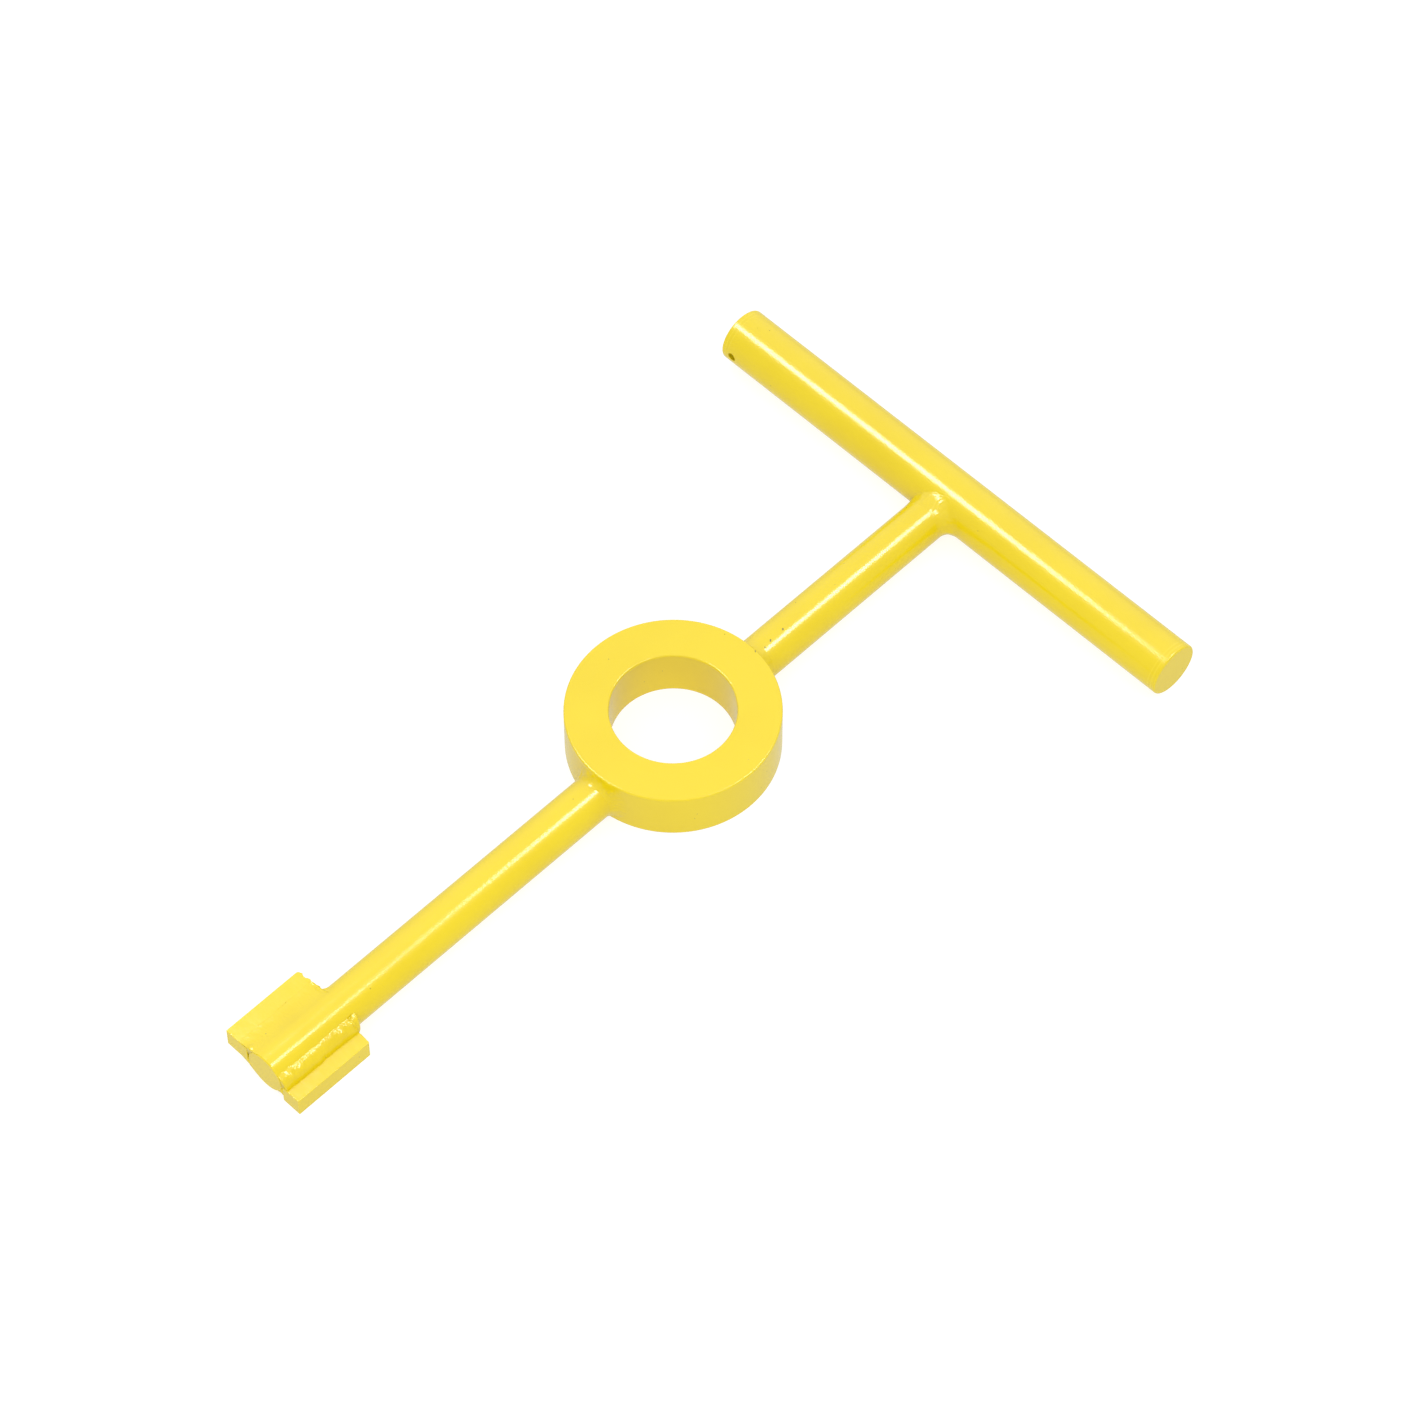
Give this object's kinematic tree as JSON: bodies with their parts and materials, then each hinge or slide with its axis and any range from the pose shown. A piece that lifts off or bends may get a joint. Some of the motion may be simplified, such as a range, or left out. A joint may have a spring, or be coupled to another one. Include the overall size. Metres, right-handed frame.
{
  "type": "fire hydrant wrench",
  "caption": "Welded T-handle bar wrench with a thick ring in the bar and stub wings at the key end, powder coated yellow.",
  "frame": {"origin": "centre of the ring's bore at mid thickness", "axes": "+Z along the ring's bore, +Y up the bar from the key end to the T-handle, +X along the handle; the underside of ring, bars, handle and right wing is at z = -0.0125"},
  "size_m": [0.257, 0.416, 0.025],
  "materials": {
    "powder_coat": "glossy yellow powder coat with a light orange peel",
    "powder_coat_over_weld": "glossy yellow powder coat over as-welded beads"
  },
  "bodies": {
    "root": {"ring": "powder_coat", "upper_shank": "powder_coat", "lower_shank": "powder_coat", "handle_tube": "powder_coat", "handle_cap_left": "powder_coat", "handle_cap_right": "powder_coat", "left_wing": "powder_coat", "right_wing": "powder_coat", "cap_seam_left": "powder_coat_over_weld", "cap_seam_right": "powder_coat_over_weld", "handle_weld": "powder_coat_over_weld", "upper_ring_weld": "powder_coat_over_weld", "lower_ring_weld": "powder_coat_over_weld", "left_wing_top_weld": "powder_coat_over_weld", "left_wing_low_weld": "powder_coat_over_weld", "right_wing_top_weld": "powder_coat_over_weld", "right_wing_low_weld": "powder_coat_over_weld", "left_heel_weld": "powder_coat_over_weld", "right_heel_weld": "powder_coat_over_weld"}
  },
  "joints": []
}
